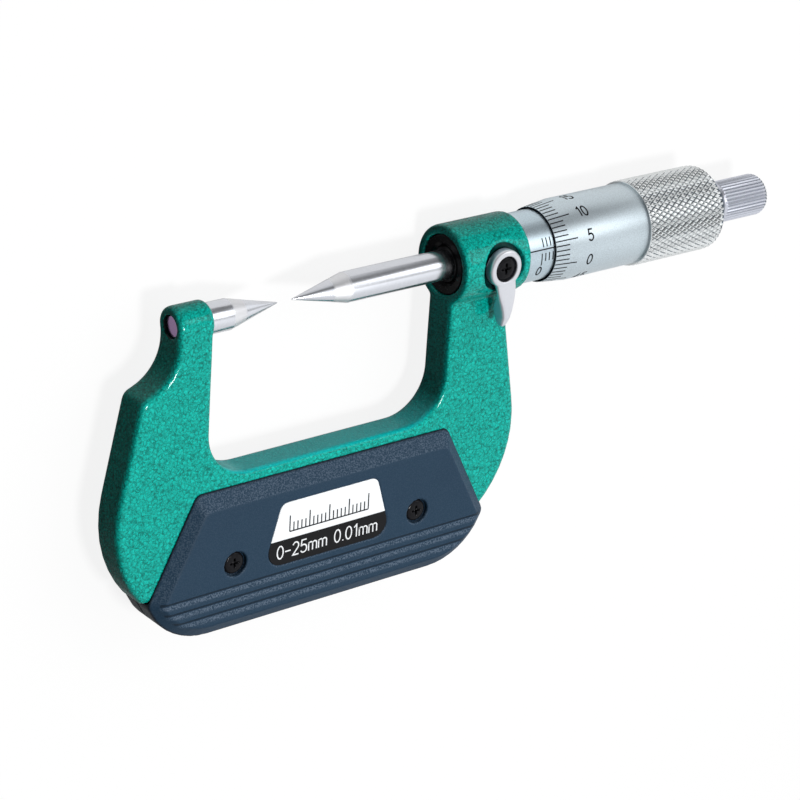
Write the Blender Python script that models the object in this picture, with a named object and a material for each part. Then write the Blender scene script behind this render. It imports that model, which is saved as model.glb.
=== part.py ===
"""Point micrometer, 0 to 25 mm, built as it comes apart on the bench.

The model is worked out in the instrument's own frame: X runs along the spindle from the anvil's
point towards the ratchet knob, Y from the bow of the frame up to the spindle, Z out of the front
face. One empty carries it all, so that the micrometer lies on its back with +Z up.
"""

import math

import bmesh
import bpy
from mathutils import Matrix, Vector

MM = 0.001

# Measuring line
READING = 3.54
TRAVEL = 25.0
SPINDLE_R = 3.2
POINT_FLAT_R = 0.12
SPINDLE_POINT = 12.95
ANVIL_POINT = 12.1
ANVIL_SHANK_R = 2.3
ANVIL_BACK_RECESS = 1.15

# Frame casting
FRAME_HALF = 4.0
FRAME_EDGE = 1.0
FRAME_CENTRE = 10.7
BOW_LEFT = (-12.8, -39.8)
BOW_LEFT_R = 26.5
BOW_RIGHT = (35.6, -37.6)
BOW_RIGHT_R = 25.5
ANVIL_ARM_LEFT = -25.4
THROAT_LEFT = -17.4
THROAT_RIGHT = 41.8
THROAT_LEFT_TOP = -0.6
THROAT_RIGHT_TOP = -4.0
THROAT_SPREAD = 0.5
THROAT_FLOOR = -33.3
THROAT_R = 9.9
NECK_R = 10.0
NECK_Y = -9.7
KNUCKLE = (-33.8, -12.9)
KNUCKLE_R = 2.5
RIGHT_ARM_TOP = (56.1, -7.5)
ANVIL_HEAD_R = 4.1
BOSS_R = 8.45
BOSS_LEFT = 41.7
BOSS_RIGHT = 59.1
BOSS_EDGE = 0.8

# Insulating covers
COVER_TOP = -35.2
COVER_BOTTOM = -67.1
COVER_HALF_MID = 37.8
COVER_MID_Y = -47.0
COVER_SIDE_SLOPE = 0.52
COVER_CORNER_IN = 9.3
COVER_CORNER_R = 15.5
COVER_HIP_R = 2.0
COVER_TOP_CORNER_R = 2.2
COVER_END_Y = -56.6
COVER_WRAP = 1.3
COVER_SHOULDER = 4.2
COVER_FACE = 6.3
COVER_BEVEL = 2.7
COVER_TOP_BEVEL = 3.6
SCREW_SPACING = 46.4
SCREW_Y = -51.9
SCREW_WELL_R = 2.77
SCREW_SEAT = 4.8
SCREW_HEAD_R = 2.45
SCREW_HEAD_TOP = 5.85
SCREW_SHANK_R = 1.25
SCREW_TIP = 0.6
GROOVE_TOP = -56.7
GROOVE_PITCH = 2.55
GROOVE_WIDTH = 1.55
GROOVE_LIP = 0.3
GROOVE_DEPTH = 0.55
GROOVES = 3

# Scale plate on the front cover
PLATE_TOP = -41.3
PLATE_BOTTOM = -55.15
PLATE_TOP_HALF = 12.1
PLATE_BOTTOM_HALF = 16.2
PLATE_TOP_R = 2.0
PLATE_BOTTOM_R = 3.2
PLATE_THICK = 0.3
PLATE_SINK = 0.08

# Barrel and graduated sleeve
WIPER_R = 6.5
WIPER_DEPTH = 3.2
BARREL_SHANK_R = 5.5
BARREL_R = 6.6
BARREL_NOSE_GAP = 0.3
BARREL_END = 92.4
BARREL_THREAD_R = 6.0
NUT_START = 89.3
NUT_R = 7.2
SLEEVE_R = 7.6
SLEEVE_END = 88.9
ZERO_LINE = 62.53
THREAD_START = 58.0
THREAD_R = 3.1

# Thimble
THIMBLE_R = 8.85
THIMBLE_LIP_R = 7.95
THIMBLE_BEVEL = 6.5
THIMBLE_WALL_IN = 98.0
TAPER_IN = 2.0
RATCHET_SCREW_IN = 4.0
GRIP_START = 91.9
GRIP_R = 9.4
THIMBLE_END = 114.2
THIMBLE_EDGE_R = 1.5
TAPER_LENGTH = 9.0
TAPER_FALL = 0.45

# Ratchet stop
WHEEL_R = 3.7
WHEEL_START = 112.2
WHEEL_LENGTH = 4.9
TEETH = 12
TOOTH_HEIGHT = 0.7
TOOTH_GAP = 0.2
CLUTCH_LENGTH = 2.4
KNOB_R = 4.65
KNOB_START = 118.0
KNOB_LENGTH = 14.0
KNOB_ROUND = 1.2
KNOB_WALL = 3.8
FLUTES = 32
FLUTE_DEPTH = 0.22
RATCHET_SCREW_R = 1.4
RATCHET_HEAD_R = 2.5
RATCHET_HEAD = 1.5
SPRING_WIRE_R = 0.3
SPRING_TURNS = 4

# Spindle lock
LOCK_X = 51.9
LOCK_POCKET_R = 5.3
LOCK_HOLE_START = 2.0
LEVER_SINK = 1.75
LEVER_THICK = 2.3
LEVER_CLEAR = 0.2
LEVER_HOOK_GAP = 1.2
LEVER_BACK = BOSS_R - LEVER_SINK
LEVER_FRONT = LEVER_BACK + LEVER_THICK
LOCK_POCKET_FLOOR = LEVER_BACK - LEVER_CLEAR
LEVER_HEAD_R = 4.1
LEVER_TAIL = 13.0
LEVER_WELL_R = 2.75
LEVER_WELL = 1.3
LOCK_STUD_R = 1.9
LOCK_SHOE_R = 1.7
LOCK_SHOE_TOP = 4.5
LOCK_SCREW_R = 1.0

RUN = 0.1
SEAT = 0.05
STEP = math.radians(7.5)

root = None


def clear_scene():
    for obj in list(bpy.data.objects):
        bpy.data.objects.remove(obj, do_unlink=True)


def material(name, colour, roughness, metallic):
    made = bpy.data.materials.new(name)
    made.use_nodes = True
    shader = made.node_tree.nodes["Principled BSDF"]
    shader.inputs["Base Color"].default_value = (*colour, 1.0)
    shader.inputs["Roughness"].default_value = roughness
    shader.inputs["Metallic"].default_value = metallic
    made.diffuse_color = (*colour, 1.0)
    return made


def finish_mesh(name, bm, finish, at=(0.0, 0.0, 0.0), smooth=30.0):
    """Turns a bmesh drawn in millimetres into an object of the model, its origin at the point at."""
    bmesh.ops.recalc_face_normals(bm, faces=bm.faces)
    bmesh.ops.scale(bm, vec=(MM, MM, MM), verts=bm.verts)
    mesh = bpy.data.meshes.new(name)
    bm.to_mesh(mesh)
    bm.free()
    mesh.shade_smooth()
    mesh.set_sharp_from_angle(angle=math.radians(smooth))
    obj = bpy.data.objects.new(name, mesh)
    bpy.context.scene.collection.objects.link(obj)
    obj.parent = root
    obj.location = Vector(at) * MM
    if finish:
        obj.data.materials.append(finish)
    return obj


def as_helper(obj):
    obj.hide_render = True
    obj.display_type = "WIRE"
    return obj


def boolean(obj, other, operation="DIFFERENCE"):
    modifier = obj.modifiers.new(f"{operation.lower()}_{other.name}", "BOOLEAN")
    modifier.operation = operation
    modifier.solver = "EXACT"
    modifier.object = as_helper(other)
    other.parent = obj
    other.location -= obj.location
    return obj


def soften(obj, width, segments=2, angle=40.0):
    modifier = obj.modifiers.new("edge_radius", "BEVEL")
    modifier.width = width * MM
    modifier.segments = segments
    modifier.limit_method = "ANGLE"
    modifier.angle_limit = math.radians(angle)
    modifier.use_clamp_overlap = False
    return obj


def revolve(profile, sides=48):
    """A bmesh turned about X from a closed profile of (x, radius) points."""
    bm = bmesh.new()
    points = [bm.verts.new((x, 0.0, r)) for x, r in profile]
    ends = list(zip(points, points[1:] + points[:1]))
    edges = [bm.edges.new(pair) for pair in ends if pair[0].co.z > 0 or pair[1].co.z > 0]
    bmesh.ops.spin(
        bm,
        geom=points + edges,
        cent=(0.0, 0.0, 0.0),
        axis=(1.0, 0.0, 0.0),
        angle=math.tau,
        steps=sides,
        use_merge=True,
    )
    bmesh.ops.remove_doubles(bm, verts=bm.verts, dist=1e-5)
    return bm


def turned(name, profile, finish, sides=48):
    return finish_mesh(name, revolve(profile, sides), finish)


def upright(name, profile, finish, at, sides=32):
    """A piece turned about Z, from a closed profile of (height, radius) points."""
    bm = revolve(profile, sides)
    bmesh.ops.rotate(bm, verts=bm.verts, matrix=Matrix.Rotation(-math.pi / 2, 3, "Y"))
    return finish_mesh(name, bm, finish, at)


def rod(x0, x1, r):
    return [(x0, 0.0), (x0, r), (x1, r), (x1, 0.0)]


def tube(x0, x1, inner, outer):
    return [(x0, inner), (x0, outer), (x1, outer), (x1, inner)]


def stepped_hole(start, r, step, wide_r, end):
    """Profile of a hole that widens at the step, as under a screw's head."""
    return [(start, 0.0), (start, r), (step, r), (step, wide_r), (end, wide_r), (end, 0.0)]


def prism_mesh(outline, z0, z1):
    bm = bmesh.new()
    face = bm.faces.new([bm.verts.new((x, y, z0)) for x, y in outline])
    grown = bmesh.ops.extrude_face_region(bm, geom=[face])
    top = [item for item in grown["geom"] if isinstance(item, bmesh.types.BMVert)]
    bmesh.ops.translate(bm, verts=top, vec=(0.0, 0.0, z1 - z0))
    return bm


def prism(name, outline, z0, z1, finish=None, at=(0.0, 0.0, 0.0)):
    return finish_mesh(name, prism_mesh(outline, z0, z1), finish, at)


def arc(centre, r, start, end, step=STEP):
    """Points of an arc from one angle to another, in radians."""
    count = max(2, round(abs(end - start) / step))
    angles = [start + (end - start) * i / count for i in range(count + 1)]
    return [(centre[0] + r * math.cos(a), centre[1] + r * math.sin(a)) for a in angles]


def fillet(before, corner, after, r, count=None):
    """The arc of radius r that rounds a corner between two straight edges."""
    corner = Vector(corner)
    back = (Vector(before) - corner).normalized()
    ahead = (Vector(after) - corner).normalized()
    half = back.angle(ahead) / 2
    centre = corner + (back + ahead).normalized() * (r / math.sin(half))
    first = corner + back * (r / math.tan(half)) - centre
    last = corner + ahead * (r / math.tan(half)) - centre
    start = math.atan2(first.y, first.x)
    turn = math.remainder(math.atan2(last.y, last.x) - start, math.tau)
    return arc(centre, r, start, start + turn, abs(turn) / count if count else STEP)


def tangent_angle(point, centre, r, side):
    """Where on a circle a line from an outside point touches it."""
    away = Vector(point) - Vector(centre)
    return math.atan2(away.y, away.x) + side * math.acos(r / away.length)


def mirrored(points):
    """The same points on the other side of the frame's middle, in the other order."""
    return [(2 * FRAME_CENTRE - x, y) for x, y in reversed(points)]


def bow_corner(grow=0.0):
    """The right lower corner of the frame under the covers, from the bottom up."""
    centre = (FRAME_CENTRE + COVER_HALF_MID - COVER_CORNER_IN, COVER_BOTTOM + COVER_CORNER_R)
    r = COVER_CORNER_R - COVER_WRAP + grow
    end = math.asin((COVER_END_Y - grow - centre[1]) / r)
    return arc(centre, r, -math.pi / 2, end)


def frame_outline():
    """The bow of the frame with both arms, from the anvil arm down and round to the throat."""
    left_end = math.pi - math.asin((COVER_END_Y - BOW_LEFT[1]) / BOW_LEFT_R)
    right_start = math.asin((COVER_END_Y - BOW_RIGHT[1]) / BOW_RIGHT_R)
    left_start = tangent_angle(KNUCKLE, BOW_LEFT, BOW_LEFT_R, 1) % math.tau
    right_end = tangent_angle(RIGHT_ARM_TOP, BOW_RIGHT, BOW_RIGHT_R, -1)
    left_bow = arc(BOW_LEFT, BOW_LEFT_R, left_start, left_end)
    arm_top = (ANVIL_ARM_LEFT, THROAT_LEFT_TOP)
    neck = (ANVIL_ARM_LEFT, NECK_Y)
    floor_left = (THROAT_LEFT - THROAT_SPREAD, THROAT_FLOOR)
    floor_right = (THROAT_RIGHT - THROAT_SPREAD, THROAT_FLOOR)
    throat_right = (THROAT_RIGHT, THROAT_RIGHT_TOP)
    throat_left = (THROAT_LEFT, THROAT_LEFT_TOP)
    return (
        [arm_top]
        + fillet(arm_top, neck, KNUCKLE, NECK_R)
        + fillet(neck, KNUCKLE, left_bow[0], KNUCKLE_R)
        + left_bow
        + mirrored(bow_corner())
        + bow_corner()
        + arc(BOW_RIGHT, BOW_RIGHT_R, right_start, right_end)
        + [RIGHT_ARM_TOP, (RIGHT_ARM_TOP[0] - 0.5, -4.0), throat_right]
        + fillet(throat_right, floor_right, floor_left, THROAT_R)
        + fillet(floor_right, floor_left, throat_left, THROAT_R)
        + [throat_left]
    )


def make_frame(paint):
    """Iron casting: bow, anvil arm with its rounded head, and the boss that holds the barrel."""
    frame = prism("frame", frame_outline(), -FRAME_HALF, FRAME_HALF, paint)
    soften(frame, FRAME_EDGE, 2, 80.0)
    head_left = ANVIL_ARM_LEFT - SEAT
    head_right = THROAT_LEFT + SEAT
    head = [
        (head_left, 0.0),
        (head_left, ANVIL_HEAD_R - BOSS_EDGE),
        (head_left + 0.3 * BOSS_EDGE, ANVIL_HEAD_R - 0.3 * BOSS_EDGE),
        (head_left + BOSS_EDGE, ANVIL_HEAD_R),
        (head_right - 0.5 * BOSS_EDGE, ANVIL_HEAD_R),
        (head_right, ANVIL_HEAD_R - 0.5 * BOSS_EDGE),
        (head_right, 0.0),
    ]
    boolean(frame, turned("anvil_head", head, None, 28), "UNION")
    rounding = arc((BOSS_LEFT + BOSS_EDGE, BOSS_R - BOSS_EDGE), BOSS_EDGE, math.pi, math.pi / 2, math.pi / 6)
    boss = [(BOSS_LEFT, 0.0)] + rounding
    boss += [(BOSS_RIGHT - 0.25, BOSS_R), (BOSS_RIGHT, BOSS_R - 0.25), (BOSS_RIGHT, 0.0)]
    boolean(frame, turned("boss", boss, None, 48), "UNION")
    bore = [
        (BOSS_LEFT - 1.0, 0.0),
        (BOSS_LEFT - 1.0, WIPER_R + 0.3),
        (BOSS_LEFT - SEAT, WIPER_R + 0.3),
        (BOSS_LEFT + 0.3, WIPER_R),
        (BOSS_LEFT + WIPER_DEPTH, WIPER_R),
        (BOSS_LEFT + WIPER_DEPTH, BARREL_SHANK_R),
        (BOSS_RIGHT + 1.0, BARREL_SHANK_R),
        (BOSS_RIGHT + 1.0, 0.0),
    ]
    boolean(frame, turned("barrel_bore", bore, None, 32))
    boolean(frame, turned("anvil_bore", rod(head_left - 1.0, head_right + 1.0, ANVIL_SHANK_R), None, 20))
    pocket = stepped_hole(LOCK_HOLE_START, LOCK_STUD_R + RUN, LOCK_POCKET_FLOOR, LOCK_POCKET_R, BOSS_R + 2.0)
    boolean(frame, upright("lock_pocket", pocket, None, (LOCK_X, 0.0, 0.0), 28))
    for x in screw_places():
        hole = rod(-FRAME_HALF - 1.0, FRAME_HALF + 1.0, SCREW_SHANK_R + RUN)
        boolean(frame, upright(f"screw_hole_{x:.0f}", hole, None, (x, SCREW_Y, 0.0), 16))
    return frame


def screw_places():
    return [FRAME_CENTRE - SCREW_SPACING / 2, FRAME_CENTRE + SCREW_SPACING / 2]


def cover_side(inset, top):
    """The right half of a cover's outline, from the middle of its bottom up to its top corner."""
    centre = Vector((FRAME_CENTRE + COVER_HALF_MID - COVER_CORNER_IN, COVER_BOTTOM + COVER_CORNER_R))
    r = COVER_CORNER_R - inset
    narrowing = inset * math.hypot(1.0, COVER_SIDE_SLOPE)
    mid = FRAME_CENTRE + COVER_HALF_MID - narrowing
    top_corner = Vector((mid + COVER_SIDE_SLOPE * (COVER_MID_Y - top), top))
    along = Vector((COVER_SIDE_SLOPE, -1.0)).normalized()
    offset = top_corner - centre
    run = -offset.dot(along) + math.sqrt(offset.dot(along) ** 2 - offset.length_squared + r * r)
    low_corner = top_corner + along * run
    end = math.atan2(low_corner.y - centre.y, low_corner.x - centre.x)
    bottom = [(centre.x + r * math.cos(a), centre.y + r * math.sin(a)) for a in bottom_angles(end)]
    low = fillet(bottom[-1], low_corner, top_corner, COVER_HIP_R, 3)
    high = fillet(low_corner, top_corner, (FRAME_CENTRE, top), COVER_TOP_CORNER_R, 4)
    return bottom[:-1] + low + high


def bottom_angles(end, count=9):
    start = -math.pi / 2
    return [start + (end - start) * i / count for i in range(count)]


def cover_outline(inset, top):
    right = cover_side(inset, top)
    return mirrored(right) + right


def make_cover(name, plastic, with_plate):
    """Moulded shell: a bevelled face on the frame's side and a skirt that wraps under the bow."""
    foot = cover_outline(0.0, COVER_TOP)
    face = cover_outline(COVER_BEVEL, COVER_TOP - COVER_TOP_BEVEL)
    levels = [(foot, SEAT), (foot, COVER_SHOULDER), (face, COVER_FACE)]
    bm = bmesh.new()
    rings = [[bm.verts.new((x, y, z)) for x, y in outline] for outline, z in levels]
    for low, high in zip(rings, rings[1:]):
        for i in range(len(low)):
            j = (i + 1) % len(low)
            bm.faces.new((low[i], low[j], high[j], high[i]))
    bm.faces.new(rings[0])
    bm.faces.new(rings[-1])
    cover = finish_mesh(name, bm, plastic)
    reach = FRAME_CENTRE + COVER_HALF_MID * 2
    ledge = COVER_END_Y - RUN
    corner = bow_corner(RUN)
    core = mirrored(corner) + corner
    core += [(reach, ledge), (reach, 0.0), (2 * FRAME_CENTRE - reach, 0.0), (2 * FRAME_CENTRE - reach, ledge)]
    boolean(cover, prism(f"{name}_core", core, -1.0, FRAME_HALF + SEAT))
    for i in range(GROOVES):
        boolean(cover, groove_cutter(f"{name}_groove_{i}", GROOVE_TOP - i * GROOVE_PITCH))
    for x in screw_places():
        well = stepped_hole(0.5, SCREW_SHANK_R + RUN, SCREW_SEAT, SCREW_WELL_R, COVER_FACE + 1.0)
        boolean(cover, upright(f"{name}_well_{x:.0f}", well, None, (x, SCREW_Y, 0.0), 24))
    if with_plate:
        floor = COVER_FACE - PLATE_SINK - PLATE_THICK - SEAT
        boolean(cover, prism("plate_recess", plate_outline(RUN), floor, COVER_FACE + 1.0))
    return cover


def groove_cutter(name, top):
    """A saw-tooth groove across the cover: a short upper wall and a long lower slope."""
    reach = COVER_HALF_MID * 1.4
    bm = bmesh.new()
    section = [
        (top + GROOVE_LIP, COVER_FACE + 0.5),
        (top, COVER_FACE),
        (top - GROOVE_LIP, COVER_FACE - GROOVE_DEPTH),
        (top - GROOVE_WIDTH, COVER_FACE),
        (top - GROOVE_WIDTH - GROOVE_LIP, COVER_FACE + 0.5),
    ]
    face = bm.faces.new([bm.verts.new((FRAME_CENTRE - reach, y, z)) for y, z in section])
    grown = bmesh.ops.extrude_face_region(bm, geom=[face])
    far = [item for item in grown["geom"] if isinstance(item, bmesh.types.BMVert)]
    bmesh.ops.translate(bm, verts=far, vec=(2 * reach, 0.0, 0.0))
    return finish_mesh(name, bm, None)


def plate_outline(grow=0.0):
    top = PLATE_TOP + grow
    bottom = PLATE_BOTTOM - grow
    upper = (FRAME_CENTRE + PLATE_TOP_HALF + grow, top)
    lower = (FRAME_CENTRE + PLATE_BOTTOM_HALF + grow, bottom)
    right = fillet((FRAME_CENTRE, bottom), lower, upper, PLATE_BOTTOM_R, 6)
    right += fillet(lower, upper, (FRAME_CENTRE, top), PLATE_TOP_R, 5)
    return mirrored(right) + right


def turn_over(obj):
    """Turns a piece of the front side over to the back, about the frame's upright middle line."""
    obj.rotation_euler = (0.0, math.pi, 0.0)
    obj.location.x = 2 * FRAME_CENTRE * MM - obj.location.x
    return obj


def make_cover_screws(black):
    """Cross-head screws, two from each side, short enough to stop before they meet."""
    profile = [
        (SCREW_TIP, 0.0),
        (SCREW_TIP, SCREW_SHANK_R - 0.4),
        (SCREW_TIP + 0.5, SCREW_SHANK_R),
        (SCREW_SEAT + SEAT, SCREW_SHANK_R),
        (SCREW_SEAT + SEAT, SCREW_HEAD_R),
        (SCREW_HEAD_TOP - 0.4, SCREW_HEAD_R),
        (SCREW_HEAD_TOP - 0.1, SCREW_HEAD_R - 0.4),
        (SCREW_HEAD_TOP, SCREW_HEAD_R - 1.0),
        (SCREW_HEAD_TOP, 0.0),
    ]
    for side in ("front", "rear"):
        for number, x in enumerate(screw_places(), 1):
            screw = upright(f"{side}_cover_screw_{number}", profile, black, (x, SCREW_Y, 0.0), 16)
            boolean(screw, cross_recess(f"{screw.name}_cross", (x, SCREW_Y, 0.0), SCREW_HEAD_TOP, 1.35, 0.5))
            if side == "rear":
                turn_over(screw)


def cross_recess(name, at, top, reach, half_slot):
    """The cross that a screwdriver enters, tapering to its foot."""
    depth = reach * 0.55
    bm = bmesh.new()
    for level, share in ((top - depth, 0.45), (top + 0.2, 1.0)):
        a, b = half_slot * 0.5, reach * share
        outline = [(a, a), (a, b), (-a, b), (-a, a), (-b, a), (-b, -a), (-a, -a), (-a, -b), (a, -b), (a, -a), (b, -a), (b, a)]
        for x, y in outline:
            bm.verts.new((x, y, level))
    bm.verts.ensure_lookup_table()
    low, high = bm.verts[:12], bm.verts[12:]
    for i in range(12):
        j = (i + 1) % 12
        bm.faces.new((low[i], low[j], high[j], high[i]))
    bm.faces.new(low)
    bm.faces.new(high)
    return finish_mesh(name, bm, None, at)


def make_anvil(steel):
    """Hardened anvil: a shank pressed into the arm, a stub of the spindle's size and a point."""
    back = ANVIL_ARM_LEFT + ANVIL_BACK_RECESS
    root_x = THROAT_LEFT + 2 * SEAT
    profile = [
        (back, 0.0),
        (back, ANVIL_SHANK_R - SEAT - 0.2),
        (back + 0.2, ANVIL_SHANK_R - SEAT),
        (root_x, ANVIL_SHANK_R - SEAT),
        (root_x, SPINDLE_R),
        (-ANVIL_POINT, SPINDLE_R),
        (0.0, POINT_FLAT_R),
        (0.0, 0.0),
    ]
    return turned("anvil", profile, steel, 32)


def make_wiper(black):
    """Black ring in the mouth of the boss that wipes the spindle clean."""
    start = BOSS_LEFT + 0.35
    outer = WIPER_R - SEAT
    inner = SPINDLE_R + RUN
    end = BOSS_LEFT + WIPER_DEPTH - SEAT
    profile = [(start, inner + 0.4), (start, outer - 0.3), (start + 0.3, outer), (end, outer), (end, inner), (start + 0.4, inner)]
    return turned("wiper_ring", profile, black, 32)


def make_barrel(steel):
    """Fixed steel barrel: shank in the boss, bearing bore for the spindle and nut thread at the end."""
    bore = SPINDLE_R + RUN
    nose = BOSS_LEFT + WIPER_DEPTH + BARREL_NOSE_GAP
    nut_bore = THREAD_R + RUN
    nut_thread = THREAD_START + TRAVEL - READING + 1.5
    profile = [
        (nose, bore),
        (nose, BARREL_SHANK_R - SEAT),
        (BOSS_RIGHT + SEAT, BARREL_SHANK_R - SEAT),
        (BOSS_RIGHT + SEAT, BARREL_R),
        (SLEEVE_END - 0.6, BARREL_R),
        (SLEEVE_END - 0.6, BARREL_THREAD_R),
        (BARREL_END, BARREL_THREAD_R - 0.15),
        (BARREL_END, nut_bore),
        (nut_thread, nut_bore),
        (nut_thread - 0.5, bore),
    ]
    barrel = turned("barrel", profile, steel, 32)
    hole = rod(2.0, BARREL_SHANK_R + 1.0, LOCK_STUD_R + RUN)
    return boolean(barrel, upright("barrel_lock_hole", hole, None, (LOCK_X, 0.0, 0.0), 24))


def make_sleeve(chrome):
    """Graduated sleeve, a thin tube that is turned on the barrel to set zero."""
    start = BOSS_RIGHT + SEAT
    profile = tube(start, SLEEVE_END, BARREL_R + SEAT, SLEEVE_R)
    return turned("sleeve", profile, chrome, 64)


def make_adjusting_nut(steel):
    """Ring nut that closes the slit end of the barrel on the spindle's thread."""
    end = BARREL_END - 0.2
    profile = tube(NUT_START, end, BARREL_THREAD_R + RUN, NUT_R)
    nut = turned("adjusting_nut", profile, steel, 32)
    slot = prism("nut_slot", [(NUT_START - 1, -0.5), (NUT_START - 1, 0.5), (NUT_START + 1, 0.5), (NUT_START + 1, -0.5)], 6.6, 9.0)
    return boolean(nut, slot)


def make_spindle(steel):
    """Spindle: long point, ground body, thread and the taper that the thimble is pulled onto."""
    taper = THIMBLE_WALL_IN + TAPER_IN
    end = taper + TAPER_LENGTH
    profile = [
        (READING, 0.0),
        (READING, POINT_FLAT_R),
        (READING + SPINDLE_POINT, SPINDLE_R),
        (THREAD_START, SPINDLE_R),
        (THREAD_START + 0.5, THREAD_R - 0.3),
        (THREAD_START + 1.2, THREAD_R - 0.3),
        (THREAD_START + 1.5, THREAD_R),
        (taper, THREAD_R),
        (end, THREAD_R - TAPER_FALL),
        (end, RATCHET_SCREW_R + RUN),
        (taper + 1.0, RATCHET_SCREW_R + RUN),
        (taper + 0.2, 0.0),
    ]
    return turned("spindle", profile, steel, 36)


def make_thimble(chrome):
    """Thimble: bevelled graduated lip, plain drum, raised grip band and a flat end with a rounded edge."""
    lip = ZERO_LINE + READING
    bore = SLEEVE_R + 0.15
    taper = THIMBLE_WALL_IN + TAPER_IN
    taper_end = taper + TAPER_LENGTH
    edge_at = (THIMBLE_END - THIMBLE_EDGE_R, GRIP_R - THIMBLE_EDGE_R)
    profile = [
        (lip, bore),
        (lip, THIMBLE_LIP_R),
        (lip + THIMBLE_BEVEL, THIMBLE_R),
        (GRIP_START, THIMBLE_R),
        (GRIP_START, GRIP_R),
    ]
    profile += arc(edge_at, THIMBLE_EDGE_R, math.pi / 2, 0.0, math.pi / 6)
    profile += [
        (THIMBLE_END, WHEEL_R + SEAT),
        (WHEEL_START - SEAT, WHEEL_R + SEAT),
        (WHEEL_START - SEAT, THREAD_R - TAPER_FALL + SEAT),
        (taper_end, THREAD_R - TAPER_FALL + SEAT),
        (taper, THREAD_R + SEAT),
        (THIMBLE_WALL_IN, THREAD_R + SEAT),
        (THIMBLE_WALL_IN, bore),
    ]
    return turned("thimble", profile, chrome, 56)


def toothed_ring(start, end, inner, outer, teeth_end):
    """A ring with saw teeth on one end: teeth_end is 1 for the far end and -1 for the near one."""
    bm = bmesh.new()
    count = TEETH * 2
    flat, base = (start, end - TOOTH_HEIGHT) if teeth_end > 0 else (end, start + TOOTH_HEIGHT)
    tip = end if teeth_end > 0 else start
    rows = []
    for i in range(count):
        angle = math.tau * (i // 2 + (0.0 if i % 2 == 0 else 0.92)) / TEETH
        x = base if i % 2 == 0 else tip
        c, s = math.cos(angle), math.sin(angle)
        rows.append([bm.verts.new((px, r * s, r * c)) for px, r in ((flat, inner), (flat, outer), (x, outer), (x, inner))])
    for i in range(count):
        row, after = rows[i], rows[(i + 1) % count]
        for k in range(4):
            m = (k + 1) % 4
            bm.faces.new((row[k], row[m], after[m], after[k]))
    return bm


def make_ratchet_wheel(steel):
    """Fixed half of the ratchet, pressed into the end of the thimble."""
    bm = toothed_ring(WHEEL_START, WHEEL_START + WHEEL_LENGTH, RATCHET_SCREW_R + RUN, WHEEL_R, 1)
    return finish_mesh("ratchet_wheel", bm, steel)


def clutch_start():
    return WHEEL_START + WHEEL_LENGTH + TOOTH_GAP


def make_ratchet_clutch(steel):
    """Sprung half of the ratchet, carried by the knob."""
    start = clutch_start()
    bm = toothed_ring(start, start + CLUTCH_LENGTH, RATCHET_SCREW_R + RUN, WHEEL_R - RUN, -1)
    return finish_mesh("ratchet_clutch", bm, steel)


def make_ratchet_spring(steel):
    """Coil spring that presses the clutch onto the wheel's teeth."""
    start = clutch_start() + CLUTCH_LENGTH + SPRING_WIRE_R + SEAT
    end = KNOB_START + KNOB_LENGTH - KNOB_WALL - SPRING_WIRE_R - SEAT
    radius = (RATCHET_SCREW_R + WHEEL_R) / 2 + RUN
    curve = bpy.data.curves.new("ratchet_spring", "CURVE")
    curve.dimensions = "3D"
    curve.bevel_depth = SPRING_WIRE_R * MM
    curve.bevel_resolution = 1
    curve.use_fill_caps = True
    spline = curve.splines.new("POLY")
    count = SPRING_TURNS * 12
    spline.points.add(count)
    for i, point in enumerate(spline.points):
        angle = math.tau * SPRING_TURNS * i / count
        x = start + (end - start) * i / count
        point.co = (x * MM, radius * math.cos(angle) * MM, radius * math.sin(angle) * MM, 1.0)
    curve.materials.append(steel)
    spring = bpy.data.objects.new("ratchet_spring", curve)
    bpy.context.scene.collection.objects.link(spring)
    spring.parent = root
    return spring


def make_ratchet_screw(steel):
    """Shouldered screw that holds the ratchet together and enters the end of the spindle."""
    end = KNOB_START + KNOB_LENGTH
    seat = end - RATCHET_HEAD - 0.3
    start = THIMBLE_WALL_IN + RATCHET_SCREW_IN
    profile = [
        (start, 0.0),
        (start, RATCHET_SCREW_R - 0.3),
        (start + 0.4, RATCHET_SCREW_R),
        (seat, RATCHET_SCREW_R),
        (seat, RATCHET_HEAD_R),
        (seat + RATCHET_HEAD - 0.2, RATCHET_HEAD_R),
        (seat + RATCHET_HEAD, RATCHET_HEAD_R - 0.2),
        (seat + RATCHET_HEAD, 0.0),
    ]
    screw = turned("ratchet_screw", profile, steel, 20)
    slot = [(seat + RATCHET_HEAD - 0.7, -0.3), (end + 1, -0.3), (end + 1, 0.3), (seat + RATCHET_HEAD - 0.7, 0.3)]
    return boolean(screw, prism("ratchet_screw_slot", slot, -4.0, 4.0))


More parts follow.
